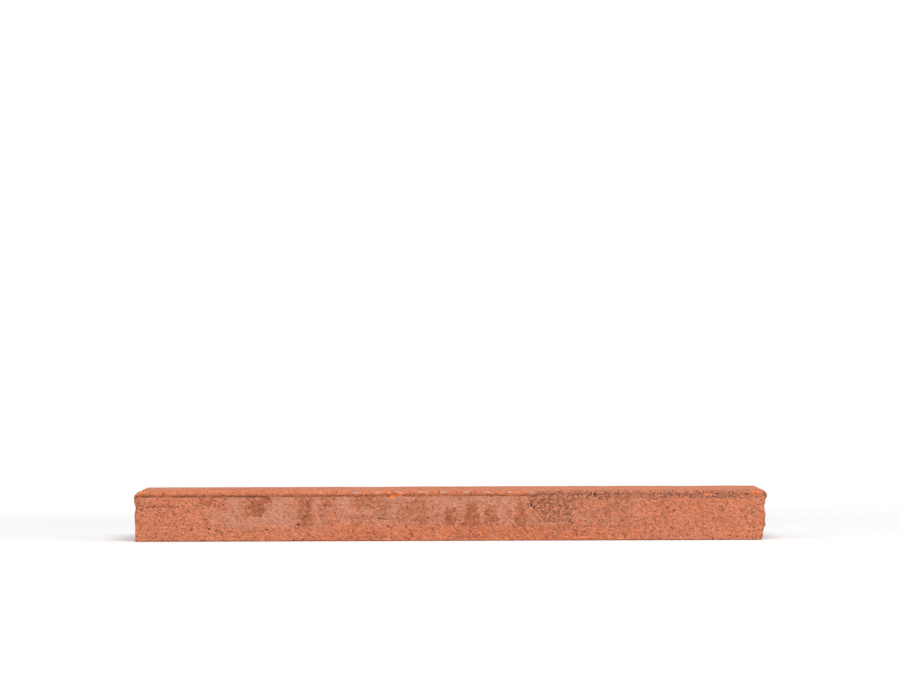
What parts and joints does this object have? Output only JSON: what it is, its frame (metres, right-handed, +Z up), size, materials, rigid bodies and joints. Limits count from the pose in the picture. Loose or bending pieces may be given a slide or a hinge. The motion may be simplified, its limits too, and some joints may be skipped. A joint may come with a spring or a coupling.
{
  "type": "clay brick",
  "caption": "Long, thin fired-clay facing brick with a rolled bead along the top of its face, crisp lower edges and chipped ends, for laying on its bed in coursed walls.",
  "frame": {"origin": "middle of the bottom bed, the face that the brick rests on", "axes": "+X along the length, -Y out of the weathered face side, +Z up from the bottom bed to the top bed"},
  "size_m": [0.5, 0.1, 0.04],
  "materials": {
    "fired_clay": "matte"
  },
  "bodies": {
    "root": {"brick": "fired_clay"}
  },
  "joints": []
}
